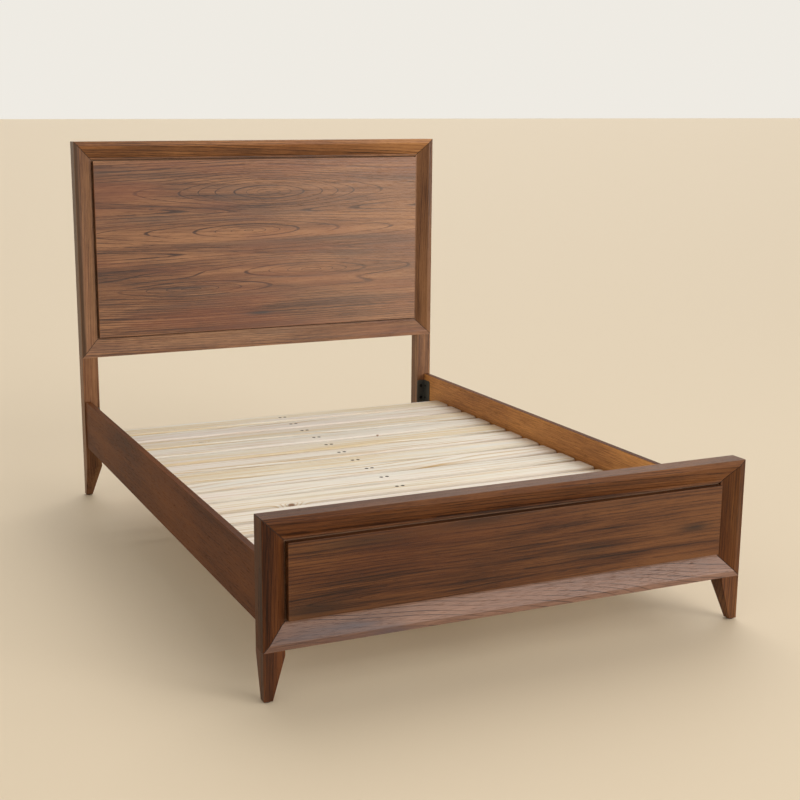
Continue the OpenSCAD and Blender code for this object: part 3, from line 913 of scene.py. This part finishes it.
slat = {
    "corner": 0.012,
    "edge": 0.0060,
    "screwRadius": 0.0054,
    "screwDepth": 0.0045,
    "screwX": 0.010,
    # painted shade around each screw hole: where it starts to fade and where it is gone, in hole radii
    "holeShadeFrom": 1.05,  # where the rim around a screw hole fades, in hole radii
    "holeShadeTo": 1.35,
    # painted shade at the slat ends: where it starts, where it is full, and its strength
    "endShade": (0.615, 0.690, 0.45),
    "knots": ((-0.404, 0.519, 0.008), (0.220, 0.382, 0.004),
              (-0.380, -0.318, 0.009), (0.545, 0.586, 0.006)),
}
slatNodes = sorted(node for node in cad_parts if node.startswith(("slat_0", "slat_1")))
firstLow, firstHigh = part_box(slatNodes[0])
lastLow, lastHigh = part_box(slatNodes[-1])
slatPitch = (firstLow.y - lastLow.y) / (len(slatNodes) - 1)
holeShadeRims = (slat["screwX"], slat["screwRadius"] * slat["holeShadeFrom"], slat["screwRadius"] * slat["holeShadeTo"])
slatPine = makePine("slat pine", "x", 5.0, knots=slat["knots"], pitch=slatPitch,
                    start=(lastLow.y + lastHigh.y) / 2, holes=holeShadeRims, shadedEnds=slat["endShade"])

slatMaster = addBlock("slat_master", firstLow, firstHigh)
editEdges(slatMaster, lambda a, b: abs(a.z - b.z) > 0.01)
bpy.ops.mesh.bevel(offset=slat["corner"], segments=5, affect="EDGES")
leaveEdit()
roundEdges(slatMaster, slat["edge"], 4, 40)
for side in (-1, 1):
    hole = addRod("hole", (side * slat["screwX"], (firstLow.y + firstHigh.y) / 2, firstHigh.z),
                  slat["screwRadius"], slat["screwDepth"] * 2, 24)
    cutWith(slatMaster, hole)
smooth(slatMaster)
for node in slatNodes:
    piece = copyOf(slatMaster, node + "_wood")
    place(piece, move=(0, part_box(node)[0].y - firstLow.y, 0))
    standIn(piece, "bed", [node], slatPine)
bpy.data.objects.remove(slatMaster, do_unlink=True)
print("slats made:", len(slatNodes))

# brackets, bolts and screws

bracket = {
    "sheet": 0.0025,
    "corner": 0.008,
    "outerBend": 0.0032,
    "innerBend": 0.0009,
    "arris": 0.0004,
}
bracketNodes = ("head_left_bracket", "head_right_bracket", "foot_left_bracket", "foot_right_bracket")


def makeBracket(node):
    # one leg of the angle lies on the rail and the other on the post
    low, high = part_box(node)
    side = 1 if low.x > 0 else -1
    end = 1 if low.y > 0 else -1
    railFace = high.x if side > 0 else low.x
    postFace = high.y if end > 0 else low.y
    tipX = low.x if side > 0 else high.x
    tipY = low.y if end > 0 else high.y
    inX = railFace - side * bracket["sheet"]
    inY = postFace - end * bracket["sheet"]
    plate = addBlock(node + "_plate", (min(inX, railFace), low.y, low.z),
                     (max(inX, railFace), high.y, high.z))
    cutAcross(plate, (0, inY, 0), (0, 1, 0))
    editFaces(plate, lambda at, out: out.x * side < -0.9 and (at.y - inY) * end > eps)
    bpy.ops.mesh.extrude_region_move(TRANSFORM_OT_translate={"value": (tipX - inX, 0, 0)})
    leaveEdit()
    tidyMesh(plate)

    def near(first, second):
        return abs(first - second) < eps

    def railTip(a, b):
        return abs(a.y - b.y) < thin and near(a.x, tipX) and near(b.x, tipX) and near(a.z, b.z)

    def postTip(a, b):
        return abs(a.x - b.x) < thin and near(a.y, tipY) and near(b.y, tipY) and near(a.z, b.z)

    def outerFold(a, b):
        return abs(a.z - b.z) > tall and near(a.x, railFace) and near(a.y, postFace)

    def innerFold(a, b):
        return abs(a.z - b.z) > tall and near(a.x, inX) and near(a.y, inY)

    thin, tall = 0.003, 0.05  # edges through the sheet are shorter than thin, the folds longer than tall
    corners = (
        (railTip, "corner", 6),
        (postTip, "corner", 6),
        (outerFold, "outerBend", 6),
        (innerFold, "innerBend", 4),
    )
    for wanted, size, segments in corners:
        editEdges(plate, wanted)
        bpy.ops.mesh.bevel(offset=bracket[size], segments=segments, affect="EDGES")
        leaveEdit()
    tidyMesh(plate)
    roundEdges(plate, bracket["arris"], 2, 50)
    smooth(plate)
    standIn(plate, "bed", [node], blackSteel)


for node in bracketNodes:
    makeBracket(node)

bolt = {
    "headRadius": 0.0065,
    "head": 0.0023,
    "shankRadius": 0.004,
    "shank": 0.022,
    "socket": 0.0030,
    "fromEdge": 0.0165,
    "rows": (0.272, 0.322),
}
railScrew = {
    "headRadius": 0.0045,
    "head": 0.0018,
    "shankRadius": 0.00225,
    "shank": 0.0173,
    "socket": 0.0018,
    "fromFold": 0.014,
}
headRound = 0.55  # how much of a head's height is rounded off
socketDeep = 0.6  # how deep its socket goes, as a share of that height
shankTip = 0.0008


def makeBoltHead(name, sizes, sides):
    # stands on z = 0 with its head up and its shank down
    head = addRod(name, (0, 0, sizes["head"] / 2), sizes["headRadius"], sizes["head"], 40)
    editEdges(head, lambda a, b: min(a.z, b.z) > sizes["head"] - eps)
    bpy.ops.mesh.bevel(offset=sizes["head"] * headRound, segments=4, affect="EDGES")
    leaveEdit()
    deep = sizes["head"] * socketDeep
    cutWith(head, addRod("socket", (0, 0, sizes["head"]), sizes["socket"], deep * 2, sides))
    shank = addRod(name + "_shank", (0, 0, -sizes["shank"] / 2), sizes["shankRadius"], sizes["shank"], 24)
    editEdges(shank, lambda a, b: max(a.z, b.z) < eps - sizes["shank"])
    bpy.ops.mesh.bevel(offset=shankTip, segments=2, affect="EDGES")
    leaveEdit()
    whole = join([head, shank], name)
    smooth(whole)
    return whole


postBolt = makeBoltHead("post_bolt", bolt, 6)
sideScrew = makeBoltHead("side_screw", railScrew, 4)
boltCopies, screwCopies = [], []
for node in bracketNodes:
    low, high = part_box(node)
    side = 1 if low.x > 0 else -1
    end = 1 if low.y > 0 else -1
    tipX = low.x if side > 0 else high.x
    railFace = high.x if side > 0 else low.x
    postFace = high.y if end > 0 else low.y
    boltX = tipX + side * bolt["fromEdge"]
    screwY = postFace - end * railScrew["fromFold"]
    for row in bolt["rows"]:
        piece = copyOf(postBolt, "bolt_copy")
        place(piece, (end * pi / 2, 0, 0), (boltX, postFace - end * bracket["sheet"], row))
        boltCopies.append(piece)
        piece = copyOf(sideScrew, "screw_copy")
        place(piece, (0, -side * pi / 2, 0), (railFace - side * bracket["sheet"], screwY, row))
        screwCopies.append(piece)
for copies, node in ((boltCopies, "bracket_bolts"), (screwCopies, "bracket_screws")):
    whole = join(copies, node + "_black")
    standIn(whole, "bed", [node], boltSteel)
for master in (postBolt, sideScrew):
    bpy.data.objects.remove(master, do_unlink=True)
print("brackets and their bolts made")

# flat headed screws that hold the slats to the beam
slatScrew = {
    "headRadius": 0.0040,
    "cone": 0.0030,
    "shankRadius": 0.0019,
    "cross": (0.0042, 0.0010),
    "crossDeep": 0.0012,
    "down": 0.0014,  # below the top of the slat
    "turn": 0.4,
}
screwLow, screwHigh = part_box("slat_screws")
cone = addRod("slat_screw", (0, 0, -slatScrew["cone"] / 2), slatScrew["headRadius"], slatScrew["cone"], 20)
editFaces(cone, lambda at, out: out.z < -0.9)
narrowing = slatScrew["shankRadius"] / slatScrew["headRadius"]
bpy.ops.transform.resize(value=(narrowing, narrowing, 1))
shankDown = screwLow.z - screwHigh.z + slatScrew["cone"] + slatScrew["down"]
bpy.ops.mesh.extrude_region_move(TRANSFORM_OT_translate={"value": (0, 0, shankDown)})
leaveEdit()
wide, narrow = slatScrew["cross"]
for barX, barY in ((wide, narrow), (narrow, wide)):
    bar = addBlock("bar", (-barX / 2, -barY / 2, -slatScrew["crossDeep"]), (barX / 2, barY / 2, 0.001))
    cutWith(cone, bar)
smooth(cone)
screwCopies = []
for node in slatNodes:
    low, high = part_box(node)
    for side in (-1, 1):
        piece = copyOf(cone, "slat_screw_copy")
        place(piece, (0, 0, side * slatScrew["turn"] + low.y),
              (side * slat["screwX"], (low.y + high.y) / 2, high.z - slatScrew["down"]))
        screwCopies.append(piece)
standIn(join(screwCopies, "slat_screws_dark"), "bed", ["slat_screws"], screwSteel)
bpy.data.objects.remove(cone, do_unlink=True)
print("slat screws made:", len(screwCopies))

# feet

glide = {
    "base": 0.006,
    "radius": 0.015,
    "rim": 0.0018,
    "dome": 0.0006,
    "domeStart": 1.35,  # the dome's foot, in nut radii
    "domeTop": 0.85,  # its top, as a share of its foot
    "collar": 0.0075,
    "collarTop": 0.0078,
    "collarArris": 0.0005,
    "studRadius": 0.0039,
    "studArris": 0.0006,
}
for body in ("glide_head", "glide_middle", "glide_foot"):
    low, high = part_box(body)
    x, y = (low.x + high.x) / 2, (low.y + high.y) / 2
    base = addRod(body + "_foot", (x, y, low.z + glide["base"] / 2), glide["radius"], glide["base"], 48)
    editEdges(base, lambda a, b: abs(a.z - b.z) < eps and max(a.z, b.z) < low.z + eps)
    bpy.ops.mesh.bevel(offset=glide["rim"], segments=4, affect="EDGES")
    leaveEdit()
    editFaces(base, lambda at, out: out.z > 0.9)
    bpy.ops.mesh.inset(thickness=glide["radius"] - glide["collar"] * glide["domeStart"])
    bpy.ops.mesh.extrude_region_move(TRANSFORM_OT_translate={"value": (0, 0, glide["dome"])})
    bpy.ops.transform.resize(value=(glide["domeTop"], glide["domeTop"], 1))
    leaveEdit()
    nut = addRod("nut", (x, y, (low.z + glide["base"] + glide["collarTop"]) / 2), glide["collar"],
                 glide["collarTop"] - low.z - glide["base"], 6)
    roundEdges(nut, glide["collarArris"], 2, 30)
    stud = addRod("stud", (x, y, (low.z + glide["base"] + high.z) / 2), glide["studRadius"],
                  high.z - low.z - glide["base"], 24)
    roundEdges(stud, glide["studArris"], 2, 30)
    for piece, material in ((base, nylon), (nut, zincSteel), (stud, zincSteel)):
        piece.data.materials.append(material)
    foot = join([base, nut, stud], body + "_foot")
    smooth(foot, 40)
    standIn(foot, body, [body])

pad = {"radius": 0.0095, "arris": 0.0009}
padLow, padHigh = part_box("foot_pads")
padX = padHigh.x - pad["radius"]
padY = padHigh.y - pad["radius"]
pads = []
for side in (-1, 1):
    for end in (-1, 1):
        spot = (padX * side, padY * end, (padLow.z + padHigh.z) / 2)
        piece = addRod("pad", spot, pad["radius"], padHigh.z - padLow.z, 40)
        roundEdges(piece, pad["arris"], 3, 30)
        pads.append(piece)
padsPiece = join(pads, "foot_pads_round")
smooth(padsPiece)
standIn(padsPiece, "bed", ["foot_pads"], nylon)
print("glides and pads made")

# pieces that keep their mesh from the frame

kept = {
    "mitre_dowels": beech, "leg_dowels": beech, "leg_studs": zincSteel, "panel_screws": zincSteel,
    "ledger_screws": zincSteel, "centre_leg_studs": zincSteel,
    "bracket_inserts": brass, "glide_inserts": brass,
    "headboard_back_panel": backPly["headboard"], "footboard_back_panel": backPly["footboard"],
}
for node, material in kept.items():
    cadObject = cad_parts[node]
    cadObject.data.materials.clear()
    cadObject.data.materials.append(material)
print("kept pieces finished")

# floor, light and camera

ground = {"size": 900, "colour": (0.69, 0.585, 0.44), "roughness": 0.6, "sheen": 0.3}
deselectAll()
bpy.ops.mesh.primitive_plane_add(size=ground["size"], location=(0, 0, 0))
floor = named("floor")
floor.data.materials.append(Surface("pale floor").finish(
    Base_Color=ground["colour"], Roughness=ground["roughness"], Specular_IOR_Level=ground["sheen"]))

room = {"backdrop": (0.86, 0.83, 0.77), "near": (0.47, 0.44, 0.40), "ceiling": (0.46, 0.44, 0.40)}
world = bpy.data.worlds.new("studio")
bpy.context.scene.world = world
world.use_nodes = True
studio = Shader(world.node_tree)
direction = studio.node("ShaderNodeTexCoord", {}, {}, "Generated")
rightward, backward, upward = studio.split(direction)
background = world.node_tree.nodes["Background"]
farSide = studio.rise(backward + rightward * 0.35, -0.25, 0.35)
walls = studio.blend(farSide, room["near"], room["backdrop"])
sky = studio.blend(studio.rise(upward, 0.12, 0.55), walls, room["ceiling"])
studio.feed(background.inputs["Color"], sky)

# azimuth is counted from +x towards +y, and spread is how wide the light looks
suns = {
    "right": {"azimuth": -12, "height": 42, "spread": 40, "power": 0.35, "colour": (1.0, 0.96, 0.90)},
    "back": {"azimuth": 60, "height": 50, "spread": 50, "power": 1.25, "colour": (1.0, 0.96, 0.90)},
    "front": {"azimuth": -62, "height": 20, "spread": 50, "power": 1.20, "colour": (1.0, 0.96, 0.90)},
    "left": {"azimuth": -150, "height": 30, "spread": 60, "power": 0.25, "colour": (1.0, 0.96, 0.90)},
}
for name, light in suns.items():
    turn = (0, radians(90 - light["height"]), radians(light["azimuth"]))
    bpy.ops.object.light_add(type="SUN", location=(0, 0, 4), rotation=turn)
    lamp = bpy.context.object
    lamp.name = name
    lamp.data.angle = radians(light["spread"])
    lamp.data.energy = light["power"]
    lamp.data.color = light["colour"]

window = {
    "at": (4.1, -5.6, 1.7),
    "aim": (0.4, 0.95, 0.9),
    "width": 2.6,
    "height": 2.2,
    "power": 62,
    "spread": 130,
    "colour": (1.0, 0.97, 0.95),
}
toward = (Vector(window["aim"]) - Vector(window["at"])).to_track_quat("-Z", "Y").to_euler()
bpy.ops.object.light_add(type="AREA", location=window["at"], rotation=toward)
lamp = bpy.context.object
lamp.name = "window"
lamp.data.shape = "RECTANGLE"
lamp.data.size = window["width"]
lamp.data.size_y = window["height"]
lamp.data.energy = window["power"]
lamp.data.spread = radians(window["spread"])
lamp.data.color = window["colour"]
lamp.visible_camera = False
bpy.context.scene.view_settings.view_transform = "Standard"

view = {
    "at": (-1.7313, -3.8972, 1.4184),
    "yaw": 23.302,
    "pitch": -12.088,
    "lens": 59.94,
    "shift": 0.0625,
    "farthest": 2000,
}
turn = (radians(90 + view["pitch"]), 0, -radians(view["yaw"]))
bpy.ops.object.camera_add(location=view["at"], rotation=turn)
camera = bpy.context.object
camera.data.lens = view["lens"]
camera.data.sensor_width = 36
camera.data.shift_x = view["shift"]
camera.data.clip_end = view["farthest"]
bpy.context.scene.camera = camera
print("floor, light and camera set")
